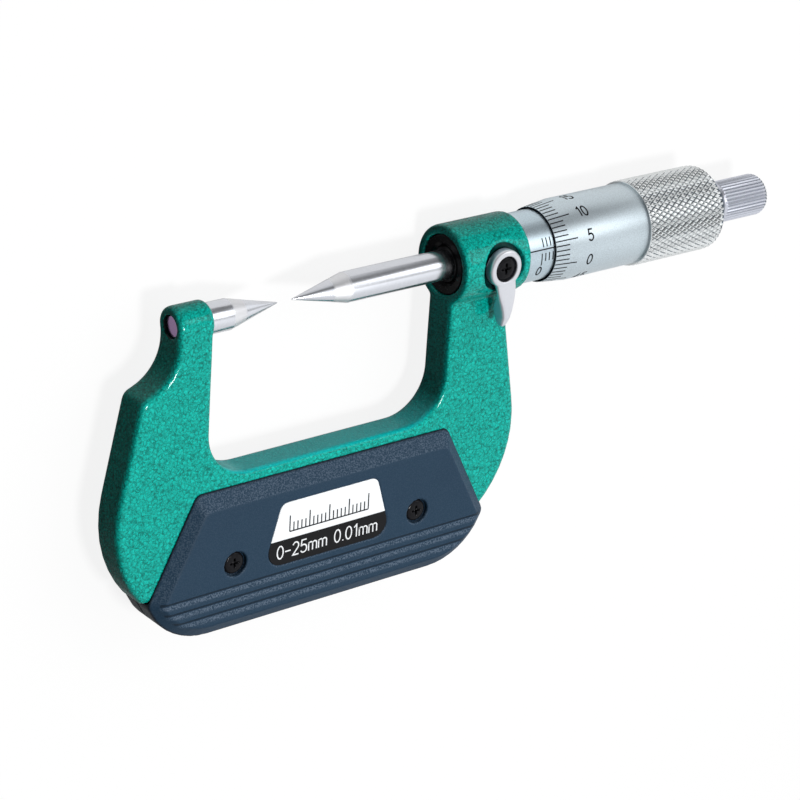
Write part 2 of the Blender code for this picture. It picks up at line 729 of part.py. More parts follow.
def make_ratchet_knob(chrome):
    """Slim knob with straight flutes, a plain collar at its root and a rounded end."""
    start = KNOB_START
    end = start + KNOB_LENGTH
    bore = WHEEL_R + SEAT
    well = RATCHET_HEAD_R + RUN
    seat = end - RATCHET_HEAD - 0.3
    sections = [
        (start, bore, 0.0),
        (start, KNOB_R - 0.45, 0.0),
        (start + 0.45, KNOB_R - 0.1, 0.0),
        (start + 0.9, KNOB_R - 0.1, 0.0),
        (start + 1.1, KNOB_R, FLUTE_DEPTH),
        (end - KNOB_ROUND, KNOB_R, FLUTE_DEPTH),
        (end - 0.45 * KNOB_ROUND, KNOB_R - 0.35 * KNOB_ROUND, FLUTE_DEPTH * 0.6),
        (end, KNOB_R - KNOB_ROUND, 0.0),
        (end, well, 0.0),
        (seat - SEAT, well, 0.0),
        (seat - SEAT, RATCHET_SCREW_R + RUN, 0.0),
        (end - KNOB_WALL, RATCHET_SCREW_R + RUN, 0.0),
        (end - KNOB_WALL, bore, 0.0),
    ]
    count = FLUTES * 2
    bm = bmesh.new()
    rings = []
    for x, r, depth in sections:
        ring = []
        for i in range(count):
            angle = math.tau * i / count
            radius = r - (depth if i % 2 else 0.0)
            ring.append(bm.verts.new((x, radius * math.cos(angle), radius * math.sin(angle))))
        rings.append(ring)
    for ring, after in zip(rings, rings[1:] + rings[:1]):
        for i in range(count):
            j = (i + 1) % count
            bm.faces.new((ring[i], ring[j], after[j], after[i]))
    return finish_mesh("ratchet_knob", bm, chrome, smooth=25.0)


def make_scale_plate(white):
    """Thin plate let into the front cover."""
    top = COVER_FACE - PLATE_SINK
    return prism("scale_plate", plate_outline(), top - PLATE_THICK, top, white)


def lever_sections():
    """Cross-sections down the lever's tail: distance, left, right, back and front."""
    unit = LEVER_TAIL / 13.0
    hook = (LEVER_BACK - FRAME_HALF - LEVER_HOOK_GAP) / 1.5
    rows = [
        (-1.0, -2.9, 2.9, 0.2, -0.1),
        (-2.7, -2.45, 2.9, 0.3, 0.0),
        (-4.2, -2.0, 2.95, 1.0, 0.0),
        (-5.5, -1.65, 2.95, 1.15, 0.0),
        (-7.0, -1.2, 2.95, 0.3, 0.0),
        (-8.4, -0.7, 2.85, -0.9, 0.0),
        (-9.8, -0.3, 2.6, -1.5, -0.05),
        (-11.2, 0.0, 2.15, -1.3, -0.15),
        (-12.3, -0.05, 1.6, -0.6, -0.4),
        (-13.0, 0.0, 1.15, 0.4, -0.7),
    ]
    placed = []
    for y, left, right, back, front in rows:
        back *= hook if back < 0 else unit
        placed.append((unit * y, unit * left, unit * right, LEVER_BACK + back, LEVER_FRONT + unit * front))
    return placed


def make_lock_lever(satin):
    """Cast lever: a ring head on the lock stud and a hooked tail for the finger."""
    head = [
        (LEVER_BACK, LOCK_STUD_R + RUN),
        (LEVER_BACK, LEVER_HEAD_R - 0.3),
        (LEVER_BACK + 0.3, LEVER_HEAD_R),
        (LEVER_FRONT - 0.5, LEVER_HEAD_R),
        (LEVER_FRONT - 0.15, LEVER_HEAD_R - 0.15),
        (LEVER_FRONT, LEVER_HEAD_R - 0.5),
        (LEVER_FRONT, LEVER_WELL_R + 0.15),
        (LEVER_FRONT - 0.15, LEVER_WELL_R),
        (LEVER_FRONT - LEVER_WELL, LEVER_WELL_R),
        (LEVER_FRONT - LEVER_WELL, LOCK_STUD_R + RUN),
    ]
    lever = upright("lock_lever", head, satin, (LOCK_X, 0.0, 0.0), 36)
    bm = bmesh.new()
    rings = []
    for y, left, right, back, front in lever_sections():
        w, h = (right - left) / 2, (front - back) / 2
        cx, cz = (left + right) / 2, (back + front) / 2
        ring = []
        for i in range(16):
            a = math.tau * (i + 0.5) / 16
            c, s = math.cos(a), math.sin(a)
            px = cx + w * math.copysign(abs(c) ** 0.5, c)
            pz = cz + h * math.copysign(abs(s) ** 0.5, s)
            ring.append(bm.verts.new((px, y, pz)))
        rings.append(ring)
    for ring, after in zip(rings, rings[1:]):
        for i in range(16):
            j = (i + 1) % 16
            bm.faces.new((ring[i], ring[j], after[j], after[i]))
    bm.faces.new(rings[0])
    bm.faces.new(rings[-1])
    tail = finish_mesh("lever_tail", bm, satin, (LOCK_X, 0.0, 0.0))
    well = rod(LEVER_BACK - 2.0, LEVER_FRONT + 2.0, LEVER_WELL_R + 0.2)
    boolean(tail, upright("lever_tail_well", well, None, (LOCK_X, 0.0, 0.0), 24))
    return boolean(lever, tail, "UNION")


def make_lock_stud(steel):
    """Stud that the lever turns and that presses the shoe onto the spindle."""
    top = LEVER_FRONT - LEVER_WELL - SEAT
    profile = tube(LOCK_SHOE_TOP + SEAT, top, LOCK_SCREW_R + RUN, LOCK_STUD_R)
    return upright("lock_stud", profile, steel, (LOCK_X, 0.0, 0.0), 24)


def make_lock_shoe(brass):
    """Brass shoe that grips the spindle without marking it."""
    profile = rod(SPINDLE_R + RUN, LOCK_SHOE_TOP, LOCK_SHOE_R)
    return upright("lock_shoe", profile, brass, (LOCK_X, 0.0, 0.0), 24)


def make_lock_screw(black):
    """Black cross-head screw that holds the lever on its stud."""
    seat = LEVER_FRONT - LEVER_WELL + SEAT
    top = LEVER_FRONT - 0.25
    profile = [
        (LOCK_SHOE_TOP + 0.6, 0.0),
        (LOCK_SHOE_TOP + 0.6, LOCK_SCREW_R),
        (seat, LOCK_SCREW_R),
        (seat, LEVER_WELL_R - 0.15),
        (top - 0.5, LEVER_WELL_R - 0.15),
        (top - 0.15, LEVER_WELL_R - 0.5),
        (top, LEVER_WELL_R - 1.2),
        (top, 0.0),
    ]
    screw = upright("lock_screw", profile, black, (LOCK_X, 0.0, 0.0), 24)
    return boolean(screw, cross_recess("lock_screw_cross", (LOCK_X, 0.0, 0.0), top, 1.5, 0.55))


def place_root():
    """The instrument lies on its back, with the middle of its outline's foot at the world's origin."""
    holder = bpy.data.objects.new("point_micrometer", None)
    bpy.context.scene.collection.objects.link(holder)
    left = BOW_LEFT[0] - BOW_LEFT_R
    right = KNOB_START + KNOB_LENGTH
    holder.location = Vector((-(left + right) / 2, -(GRIP_R + COVER_BOTTOM) / 2, GRIP_R)) * MM
    return holder


clear_scene()
root = place_root()

green_paint = material("green_hammer_paint", (0.005, 0.35, 0.29), 0.35, 0.0)
blue_plastic = material("blue_grey_plastic", (0.04, 0.065, 0.1), 0.55, 0.0)
chrome = material("satin_chrome", (0.72, 0.74, 0.77), 0.35, 1.0)
bright_steel = material("ground_steel", (0.75, 0.76, 0.78), 0.18, 1.0)
black_steel = material("blackened_steel", (0.012, 0.012, 0.012), 0.3, 0.4)
black_rubber = material("black_polymer", (0.004, 0.004, 0.005), 0.15, 0.0)
satin_cast = material("satin_cast_lever", (0.78, 0.78, 0.78), 0.3, 1.0)
brass = material("brass", (0.7, 0.5, 0.2), 0.35, 1.0)
white_plate = material("white_plate", (0.88, 0.9, 0.92), 0.4, 0.0)

make_frame(green_paint)
make_anvil(bright_steel)
make_cover("front_cover", blue_plastic, True)
turn_over(make_cover("rear_cover", blue_plastic, False))
make_scale_plate(white_plate)
make_cover_screws(black_steel)
make_wiper(black_rubber)
make_barrel(bright_steel)
make_sleeve(chrome)
make_adjusting_nut(bright_steel)
make_lock_shoe(brass)
make_lock_stud(bright_steel)
make_lock_lever(satin_cast)
make_lock_screw(black_steel)
make_spindle(bright_steel)
make_thimble(chrome)
make_ratchet_wheel(bright_steel)
make_ratchet_screw(bright_steel)
make_ratchet_clutch(bright_steel)
make_ratchet_spring(bright_steel)
make_ratchet_knob(chrome)
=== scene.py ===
"""Point micrometer dressed for the picture, in the order in which it is put together."""

import math

import bmesh
import bpy
from mathutils import Matrix, Vector


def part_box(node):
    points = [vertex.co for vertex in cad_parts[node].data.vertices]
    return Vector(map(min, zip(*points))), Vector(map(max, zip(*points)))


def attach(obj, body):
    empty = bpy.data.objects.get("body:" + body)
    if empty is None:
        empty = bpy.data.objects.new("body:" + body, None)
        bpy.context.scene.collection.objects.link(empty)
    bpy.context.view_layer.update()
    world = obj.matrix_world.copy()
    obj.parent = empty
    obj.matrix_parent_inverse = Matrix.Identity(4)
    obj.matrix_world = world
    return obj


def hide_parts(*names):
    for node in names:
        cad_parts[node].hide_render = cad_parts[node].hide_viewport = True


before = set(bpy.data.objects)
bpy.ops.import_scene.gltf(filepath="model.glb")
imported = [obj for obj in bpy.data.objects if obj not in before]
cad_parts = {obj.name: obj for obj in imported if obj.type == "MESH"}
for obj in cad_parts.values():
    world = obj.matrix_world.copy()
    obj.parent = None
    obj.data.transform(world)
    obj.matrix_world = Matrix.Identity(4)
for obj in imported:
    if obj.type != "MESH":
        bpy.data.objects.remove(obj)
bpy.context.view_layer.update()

# Frame: one iron casting with a deep bow, an arm that carries the anvil and a thick round boss.
# It is fettled so that its edges run soft, then sprayed with green hammer enamel, which draws
# together into cells of about a millimetre with darker veins between them.

MM = 0.001
MARK_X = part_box("anvil")[1][0]
MARK_Y = (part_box("spindle")[0][1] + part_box("spindle")[1][1]) / 2
MARK_Z = (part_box("spindle")[0][2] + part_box("spindle")[1][2]) / 2
MARK = Vector((MARK_X, MARK_Y, MARK_Z))
CAST_SKIN = 0.375
CELL_DRIFT = 1.3
WIDE_CELLS = 1.05
FINE_CELLS = 2.1
LOCK_X = 51.9
POCKET_R = 5.3
ANVIL_HOLE_R = 2.35


class Value:
    """What comes out of a shader node, and takes part in sums."""

    def __init__(self, recipe, socket):
        self.recipe = recipe
        self.socket = socket

    def worked(self, operation, first, second):
        return self.recipe.node("ShaderNodeMath", {"operation": operation}, {0: first, 1: second})

    def __add__(self, other):
        return self.worked("ADD", self, other)

    def __radd__(self, other):
        return self.worked("ADD", other, self)

    def __sub__(self, other):
        return self.worked("SUBTRACT", self, other)

    def __rsub__(self, other):
        return self.worked("SUBTRACT", other, self)

    def __mul__(self, other):
        return self.worked("MULTIPLY", self, other)

    def __rmul__(self, other):
        return self.worked("MULTIPLY", other, self)

    def __truediv__(self, other):
        return self.worked("DIVIDE", self, other)

    def __rtruediv__(self, other):
        return self.worked("DIVIDE", other, self)


class Recipe:
    """The nodes of one finish, or of the room's light, wired as they are made."""

    def __init__(self, tree):
        self.tree = tree

    def node(self, kind, settings, sockets, out=0):
        """Makes a node. A ramp's stops are among its settings, and out names what is taken from it."""
        made = self.tree.nodes.new(kind)
        for key, value in settings.items():
            if key == "stops":
                self.set_stops(made.color_ramp, value)
            else:
                setattr(made, key, value)
        for key, value in sockets.items():
            if isinstance(value, Value):
                self.tree.links.new(value.socket, made.inputs[key])
            else:
                made.inputs[key].default_value = value
        return Value(self, made.outputs[out])

    def set_stops(self, ramp, stops):
        ramp.interpolation = "B_SPLINE"
        while len(ramp.elements) < len(stops):
            ramp.elements.new(1.0)
        for stop, (place, colour) in zip(ramp.elements, stops):
            stop.position = place
            stop.color = colour

    def ray(self, kind):
        """1 for the rays of a kind and 0 for all others."""
        return self.node("ShaderNodeLightPath", {}, {}, out=f"Is {kind} Ray")

    def vector(self, operation, *operands, out=0):
        return self.node("ShaderNodeVectorMath", {"operation": operation}, dict(enumerate(operands)), out)

    def along(self, where, axis):
        return self.node("ShaderNodeSeparateXYZ", {}, {"Vector": where}, out="XYZ".index(axis))

    def noise(self, where, scale, detail=2.0, roughness=0.5):
        sockets = {"Vector": where, "Scale": scale, "Detail": detail, "Roughness": roughness}
        return self.node("ShaderNodeTexNoise", {}, sockets)

    def step(self, value, low, high, at_low=0.0, at_high=1.0):
        sockets = {"Value": value, "From Min": low, "From Max": high, "To Min": at_low, "To Max": at_high}
        return self.node("ShaderNodeMapRange", {"interpolation_type": "SMOOTHSTEP"}, sockets)

    def fade(self, value, low, high):
        """All of it up to low and nothing past high."""
        return self.step(value, low, high, 1.0, 0.0)

    def mix(self, share, first, second):
        """A blend of two colours, each worked out by nodes or given as red, green and blue."""
        first, second = [c if isinstance(c, Value) else (*c, 1.0) for c in (first, second)]
        return self.node("ShaderNodeMix", {"data_type": "RGBA"}, {0: share, 6: first, 7: second}, out=2)


class Finish(Recipe):
    """A finish being mixed: settings that hold all over go straight onto the shader."""

    def __init__(self, name, settings):
        self.material = bpy.data.materials.new(name)
        self.material.use_nodes = True
        super().__init__(self.material.node_tree)
        self.shader = self.tree.nodes["Principled BSDF"]
        for socket, value in settings.items():
            self.shader.inputs[socket].default_value = value

    def feed(self, socket, value):
        self.tree.links.new(value.socket, self.shader.inputs[socket])

    def place(self, stretch=(1.0, 1.0, 1.0)):
        """Where a point of the piece is, in millimetres from the anvil's point, stretched by axis."""
        coordinates = self.node("ShaderNodeTexCoord", {}, {}, out="Object")
        moved = self.vector("SUBTRACT", coordinates, MARK)
        return self.vector("MULTIPLY", moved, [s / MM for s in stretch])

    def radius(self):
        """How far a point of the piece is from the spindle's line, in millimetres."""
        return self.vector("LENGTH", self.place((0.0, 1.0, 1.0)), out="Value")

    def facing(self, axis):
        """How squarely the surface faces along an axis, from -1 to 1."""
        return self.along(self.node("ShaderNodeNewGeometry", {}, {}, out="Normal"), axis)

    def bump(self, height, distance, strength=1.0):
        sockets = {"Height": height, "Distance": distance * MM, "Strength": strength}
        self.feed("Normal", self.node("ShaderNodeBump", {}, sockets))


def hammer_enamel():
    clear_coat = {"Specular IOR Level": 0.0, "Coat IOR": 1.35, "Coat Roughness": 0.08}
    paint = Finish("green_hammer_enamel", {"Metallic": 0.1, **clear_coat})
    where = paint.place()
    x, y, z = [paint.along(where, axis) for axis in "XYZ"]
    drift = paint.node("ShaderNodeTexNoise", {}, {"Vector": where, "Scale": 1.5, "Detail": 5.0}, out=1)
    bent = paint.vector("MULTIPLY_ADD", drift, (CELL_DRIFT, CELL_DRIFT, CELL_DRIFT), where)
    edges = {"feature": "DISTANCE_TO_EDGE"}
    wide = paint.node("ShaderNodeTexVoronoi", edges, {"Vector": bent, "Scale": WIDE_CELLS})
    fine = paint.node("ShaderNodeTexVoronoi", edges, {"Vector": bent, "Scale": FINE_CELLS})
    broken = paint.step(paint.noise(where, 1.3, 4.0, 0.6), 0.36, 0.64)
    wide_veins = paint.fade(wide, 0.0, 0.24) * broken
    veins = wide_veins + paint.step(fine, 0.0, 0.2, 0.7, 0.0) * (1.0 - broken)
    patches = paint.step(paint.noise(where, 0.4, 3.0), 0.35, 0.65)
    mottle = paint.step(paint.noise(where, 2.6, 4.0, 0.65), 0.3, 0.7)
    flake = paint.step(paint.noise(where, 7.0, 2.0), 0.4, 0.75)
    pale = paint.mix(patches, (0.001, 0.43, 0.34), (0.001, 0.365, 0.29))
    base = paint.mix(mottle, pale, (0.002, 0.54, 0.455))
    bright = paint.mix(flake * 0.4, base, (0.006, 0.7, 0.6))
    skin = paint.mix(veins * 0.9, bright, (0.0005, 0.1, 0.078))
    leftward = paint.fade(paint.facing("X"), -0.95, -0.5)
    # Painted shade: faces turned to -X inside the throat are painted darker, as where shade falls.
    throat_painted_shade = leftward * paint.step(x, -25.0, -10.0)
    skin = paint.mix(throat_painted_shade * 0.5, skin, (0.0, 0.05, 0.055))
    # Painted light: the floor of the throat, turned to +Y, is painted a paler blue-green, as where light
    # falls on it.
    throat_floor_painted_light = paint.step(paint.facing("Y"), 0.4, 0.95) * paint.fade(y, -20.0, -15.0)
    skin = paint.mix(throat_floor_painted_light * 0.55, skin, (0.01, 0.72, 0.75))
    # Painted shade: the pocket round the lever's ring and the anvil's hole are painted near black, as
    # where shade falls in them.
    from_stud = paint.vector("SUBTRACT", where, (LOCK_X, 0.0, 0.0))
    reach = paint.vector("LENGTH", paint.vector("MULTIPLY", from_stud, (1.0, 1.0, 0.0)), out="Value")
    pocket = paint.fade(reach, POCKET_R - 0.25, POCKET_R + 0.1) * paint.fade(z, 6.9, 7.6)
    pocket *= paint.step(z, 5.0, 6.0)
    hole = paint.fade(paint.radius(), ANVIL_HOLE_R, ANVIL_HOLE_R + 0.2)
    recess_painted_shade = paint.node("ShaderNodeMath", {"operation": "MAXIMUM"}, {0: pocket, 1: hole})
    paint.feed("Base Color", paint.mix(recess_painted_shade * 0.95, skin, (0.0, 0.008, 0.008)))
    paint.feed("Roughness", 0.5 - flake * 0.1)
    paint.feed("Coat Weight", (0.75 - veins * 0.2) * (1.0 - leftward * 0.75))
    paint.bump(paint.step(wide, 0.0, 0.4) + mottle * 0.8, 0.05, 0.7)
    return paint.material


def softened(name, node, skin, passes):
    """A copy of a solid whose edges have run soft, as they do in a casting or a moulding."""
    bm = bmesh.new()
    bm.from_mesh(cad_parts[node].data)
    bmesh.ops.remove_doubles(bm, verts=bm.verts, dist=0.002 * MM)
    rough = bpy.data.meshes.new(f"{name}_rough")
    bm.to_mesh(rough)
    bm.free()
    rough_piece = bpy.data.objects.new(f"{name}_rough", rough)
    bpy.context.scene.collection.objects.link(rough_piece)
    remesh = rough_piece.modifiers.new("skin", "REMESH")
    remesh.mode = "VOXEL"
    remesh.voxel_size = skin * MM
    smooth = rough_piece.modifiers.new("soft", "SMOOTH")
    smooth.factor = 0.5
    smooth.iterations = passes
    bpy.context.view_layer.update()
    softened_piece = rough_piece.evaluated_get(bpy.context.evaluated_depsgraph_get())
    mesh = bpy.data.meshes.new_from_object(softened_piece)
    bpy.data.objects.remove(rough_piece)
    mesh.name = name
    mesh.materials.clear()
    mesh.shade_smooth()
    return mesh


def fit(mesh, finish, body, slot, *nodes):
    """Puts a mesh into the picture on its body, in place of the plain solids that it stands for."""
    mesh.materials.append(finish)
    piece = bpy.data.objects.new(mesh.name, mesh)
    bpy.context.scene.collection.objects.link(piece)
    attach(piece, body)
    if nodes:
        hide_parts(*nodes)


casting = softened("frame_casting", "frame", skin=CAST_SKIN, passes=8)
fit(casting, hammer_enamel(), "frame", "green_enamel", "frame")

# Anvil: hardened steel, pressed into the arm from inside. Its body is ground all over and its long
# point is ground again on the cone, which leaves a frosted band where the two wheels met.

ANVIL_CONE = 12.1
ANVIL_BAND = 8.8
ANVIL_END = -24.65
SHANK_R = 2.25
SHOULDER_X = -17.3
SPINDLE_R = 3.2
POINT_R = 0.14


def turned(name, profile, sides):
    """A mesh turned about the spindle's line, from a closed profile of (distance, radius) points."""
    bm = bmesh.new()
    points = [bm.verts.new((x, 0.0, r)) for x, r in profile]
    for first, second in zip(points, points[1:] + points[:1]):
        if first.co.z > 0 or second.co.z > 0:
            bm.edges.new((first, second))
    bmesh.ops.spin(
        bm,
        geom=points + bm.edges[:],
        cent=(0.0, 0.0, 0.0),
        axis=(1.0, 0.0, 0.0),
        angle=math.tau,
        steps=sides,
        use_merge=True,
    )
    bmesh.ops.remove_doubles(bm, verts=bm.verts, dist=1e-4)
    return set_down(name, bm)


def set_down(name, bm, sharp=30.0):
    """Turns a drawing in millimetres from the anvil's point into a mesh in its place."""
    bmesh.ops.recalc_face_normals(bm, faces=bm.faces)
    bmesh.ops.transform(bm, matrix=Matrix.Translation(MARK) @ Matrix.Scale(MM, 4), verts=bm.verts)
    mesh = bpy.data.meshes.new(name)
    bm.to_mesh(mesh)
    bm.free()
    mesh.shade_smooth()
    mesh.set_sharp_from_angle(angle=math.radians(sharp))
    return mesh


def ground_steel(name, band_from, band_to, point):
    """Ground steel: a frosted band between two places on the cone, and beyond it a point painted darker,
    a painted reflection.
    """
    steel = Finish(name, {"Metallic": 1.0})
    x = steel.along(steel.place(), "X")
    turns = steel.noise(steel.place((9.0, 0.35, 0.35)), 1.0, 4.0, 0.6)
    blotches = steel.noise(steel.place((0.5, 0.5, 0.5)), 1.0, 3.0)
    low, high = sorted((band_from, band_to))
    band = steel.step(x, low - 0.3, low + 0.3) * steel.fade(x, high - 0.5, high + 0.5)
    # Painted reflection: towards the point the steel is painted a darker grey.
    painted_reflection_to_point = steel.step(x, band_to, point) if point > band_to else steel.fade(x, point, band_to)
    bright = steel.mix(turns, (0.76, 0.78, 0.84), (0.9, 0.91, 0.95))
    reflection_darkened = steel.mix(painted_reflection_to_point, bright, (0.78, 0.79, 0.83))
    # Painted reflection in shade: the shank's end, deep in the arm's hole, is painted a dark purple-grey.
    end_painted_reflection = steel.mix(steel.fade(x, ANVIL_END + 0.05, ANVIL_END + 0.15), reflection_darkened, (0.3, 0.19, 0.34))
    steel.feed("Base Color", steel.mix(band, end_painted_reflection, (0.86, 0.86, 0.88)))
    steel.feed("Roughness", 0.13 + turns * 0.12 + blotches * 0.05 + band * 0.22)
    steel.bump(turns, 0.004, 0.5)
    return steel.material


anvil_profile = [
    (ANVIL_END, 0.0),
    (ANVIL_END, SHANK_R - 0.2),
    (ANVIL_END + 0.2, SHANK_R),
    (SHOULDER_X, SHANK_R),
    (SHOULDER_X, SPINDLE_R - 0.1),
    (SHOULDER_X + 0.1, SPINDLE_R),
    (-ANVIL_CONE - 0.05, SPINDLE_R),
    (-ANVIL_CONE + 0.1, SPINDLE_R - 0.04),
    (-0.1, POINT_R),
    (0.0, POINT_R - 0.06),
    (0.0, 0.0),
]
anvil_steel = ground_steel("ground_anvil_steel", -ANVIL_CONE, -ANVIL_BAND, 0.0)
fit(turned("anvil_ground", anvil_profile, sides=96), anvil_steel, "frame", "ground_steel", "anvil")

# Wiper: a glossy black ring pressed into the mouth of the boss. It carries a thin lip that bears
# on the spindle and keeps grit out of the barrel.

MOUTH = 41.7
WIPER_R = 6.4


def glossy_black():
    gloss = Finish("glossy_black_polymer", {"Specular IOR Level": 0.05})
    dust = gloss.noise(gloss.place(), 3.0, 4.0)
    specks = gloss.step(dust, 0.6, 0.8)
    gloss.feed("Base Color", gloss.mix(specks, (0.001, 0.001, 0.002), (0.006, 0.006, 0.008)))
    gloss.feed("Roughness", gloss.step(dust, 0.3, 0.8, 0.15, 0.35))
    return gloss.material


wiper_profile = [
    (MOUTH + 0.9, SPINDLE_R + 0.08),
    (MOUTH + 0.8, SPINDLE_R + 0.5),
    (MOUTH + 1.1, SPINDLE_R + 0.8),
    (MOUTH + 0.5, SPINDLE_R + 1.5),
    (MOUTH + 0.35, WIPER_R - 0.3),
    (MOUTH + 0.55, WIPER_R),
    (MOUTH + 3.1, WIPER_R),
    (MOUTH + 3.1, SPINDLE_R + 0.08),
]
wiper = turned("wiper_lip", wiper_profile, sides=96)
fit(wiper, glossy_black(), "frame", "black_polymer", "wiper_ring")

# Barrel, adjusting nut and ratchet parts: plain turned steel that sits inside, left as it comes
# off the lathe, with the feed marks running round it.


def lathe_steel():
    steel = Finish("lathe_turned_steel", {"Metallic": 1.0})
    feed = steel.noise(steel.place((14.0, 0.4, 0.4)), 1.0, 3.0)
    steel.feed("Base Color", steel.mix(feed, (0.5, 0.51, 0.53), (0.66, 0.67, 0.69)))
    steel.feed("Roughness", 0.22 + feed * 0.16)
    steel.bump(feed, 0.006, 0.6)
    return steel.material


def dress(finish, *nodes):
    for node in nodes:
        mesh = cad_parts[node].data
        mesh.materials.clear()
        mesh.materials.append(finish)


dress(
    lathe_steel(),
    "barrel",
    "adjusting_nut",
    "ratchet_wheel",
    "ratchet_clutch",
    "ratchet_spring",
    "ratchet_screw",
    "lock_stud",
)

# Lock shoe: a brass plug that bears on the spindle under the lever's stud.


def turned_brass():
    brass = Finish("turned_brass", {"Metallic": 1.0})
    tarnish = brass.noise(brass.place(), 1.2, 4.0)
    brass.feed("Base Color", brass.mix(tarnish, (0.72, 0.5, 0.2), (0.5, 0.33, 0.13)))
    brass.feed("Roughness", 0.25 + tarnish * 0.2)
    return brass.material


dress(turned_brass(), "lock_shoe")

# Spindle: hardened steel, ground parallel to slide in the barrel, with a long point to reach into
# grooves and keyways, the screw's thread behind it and the taper that the thimble is pulled onto.

READING = 3.54
SPINDLE_CONE = READING + 12.95
SPINDLE_BAND = READING + 9.2
SPINDLE_END = 109.0
THREAD_R = 3.1
THREAD_FROM = 59.5
UNDERCUT_R = 2.8
TAPER_FROM = 100.0
SCREW_HOLE_R = 1.5

spindle_profile = [
    (READING, 0.0),
    (READING, POINT_R - 0.06),
    (READING + 0.1, POINT_R),
    (SPINDLE_CONE - 0.1, SPINDLE_R - 0.04),
    (SPINDLE_CONE + 0.05, SPINDLE_R),
    (THREAD_FROM - 1.5, SPINDLE_R),
    (THREAD_FROM - 1.0, UNDERCUT_R),
    (THREAD_FROM - 0.3, UNDERCUT_R),
    (THREAD_FROM, THREAD_R),
    (TAPER_FROM, THREAD_R),
    (SPINDLE_END, THREAD_R - 0.45),
    (SPINDLE_END, SCREW_HOLE_R),
    (TAPER_FROM + 1.0, SCREW_HOLE_R),
    (TAPER_FROM + 0.2, 0.0),
]
spindle_steel = ground_steel("ground_spindle_steel", SPINDLE_CONE, SPINDLE_BAND, READING)
spindle = turned("spindle_ground", spindle_profile, sides=96)
fit(spindle, spindle_steel, "spindle", "ground_steel", "spindle")

# Sleeve: a thin satin chromed tube that is turned on the barrel to set zero. A wheel cuts the long
# datum line and the divisions, whole millimetres below it and half millimetres above, and the
# cuts and the figures are filled with black.

SLEEVE_R = 7.6
SLEEVE_BORE = 6.65
SLEEVE_FROM = 59.15
SLEEVE_TO = 88.9
ZERO_X = 62.53
TRAVEL = 25
DATUM_ANGLE = 76.4
HALF_ANGLES = (58.3, 72.7)
WHOLE_ANGLES = (82.5, 96.0)
FIVE_ANGLES = (82.5, 102.7)
FIGURE_ANGLE = 114.0
CUT_WIDTH = 0.28
FIGURE_HEIGHT = 2.2
FIGURE_CUT = 0.34
FILL_PROUD = 0.012
FILL_DEPTH = 0.03
LONGEST_CUT = 0.5


def satin_chrome(name, tone, frost, groove_foot=0.0, groove_top=0.0, grooves_from=0.0):
    """Satin chrome in a tone. Where grooves are cut, between two radii, painted shade darkens it towards
    their foot.
    """
    chrome = Finish(name, {"Metallic": 1.0})
    where = chrome.place()
    grain = chrome.noise(where, 4.5, 3.0, 0.7)
    cloud = chrome.noise(where, 0.25, 2.0)
    pale = [min(1.0, c * 1.1) for c in tone]
    dull = [c * 0.86 for c in tone]
    skin = chrome.mix(chrome.step(grain, 0.35, 0.65), dull, pale)
    skin = chrome.mix(cloud * 0.3, skin, pale)
    if groove_top:
        # Painted shade: between the two radii the chrome is painted dark blue-grey towards the foot, less
        # near the start of the grooves and not where it faces +X.
        groove_painted_shade = chrome.fade(chrome.radius(), groove_foot, groove_top)
        if grooves_from:
            groove_painted_shade *= chrome.step(chrome.along(where, "X"), grooves_from, grooves_from + 0.2, 0.35, 1.0)
        groove_painted_shade *= chrome.fade(chrome.facing("X"), 0.6, 0.9)
        skin = chrome.mix(groove_painted_shade, skin, (0.035, 0.065, 0.1))
    chrome.feed("Base Color", skin)
    chrome.feed("Roughness", frost - 0.05 + grain * 0.1)
    chrome.bump(grain, 0.004, 0.6)
    return chrome.material


def line_black():
    ink = Finish("black_filled_cuts", {"Specular IOR Level": 0.1})
    grain = ink.noise(ink.place(), 5.0, 2.0)
    ink.feed("Base Color", ink.mix(grain, (0.004, 0.004, 0.006), (0.014, 0.014, 0.018)))
    ink.feed("Roughness", 0.6 + grain * 0.2)
    return ink.material


def bow(x, y, wide, high, start, end, steps=10):
    """Points of an oval stretch of a figure, from one angle to another."""
    angles = [math.radians(start + (end - start) * i / steps) for i in range(steps + 1)]
    return [(x + wide * math.cos(a), y + high * math.sin(a)) for a in angles]


ARCH = bow(0.2, 0.5, 0.17, 0.16, 170, 0, 6) + [(0.37, 0.02)]

# The strokes and the width of each engraved figure, one unit tall.
FIGURES = {
    "0": ([bow(0.27, 0.5, 0.25, 0.48, 90, 450, 24)], 0.54),
    "1": ([[(0.08, 0.78), (0.3, 0.98), (0.3, 0.02)]], 0.4),
    "2": ([bow(0.27, 0.71, 0.24, 0.27, 165, -35) + [(0.03, 0.02), (0.53, 0.02)]], 0.56),
    "3": ([bow(0.26, 0.75, 0.22, 0.23, 155, -80) + bow(0.25, 0.27, 0.27, 0.25, 85, -155)], 0.54),
    "4": ([[(0.42, 0.02), (0.42, 0.98), (0.02, 0.28), (0.56, 0.28)]], 0.58),
    "5": ([[(0.5, 0.98), (0.1, 0.98), (0.06, 0.56)] + bow(0.26, 0.32, 0.27, 0.3, 130, -150)], 0.55),
    "m": ([[(0.03, 0.66), (0.03, 0.02)], ARCH, [(x + 0.34, y) for x, y in ARCH]], 0.74),
    ".": ([[(0.1, 0.02), (0.1, 0.1)]], 0.2),
    "-": ([[(0.02, 0.47), (0.5, 0.47)]], 0.54),
}


def lettering(text, x, y, height, gap=0.14, centred=True):
    """The strokes of a line of figures, from the left end of its foot or from its middle."""
    strokes = []
    widths = [FIGURES[character][1] for character in text]
    if centred:
        x -= height * (sum(widths) + gap * (len(text) - 1)) / 2
        y -= height / 2
    for character, width in zip(text, widths):
        for stroke in FIGURES[character][0]:
            strokes.append([(x + height * u, y + height * v) for u, v in stroke])
        x += height * (width + gap)
    return strokes


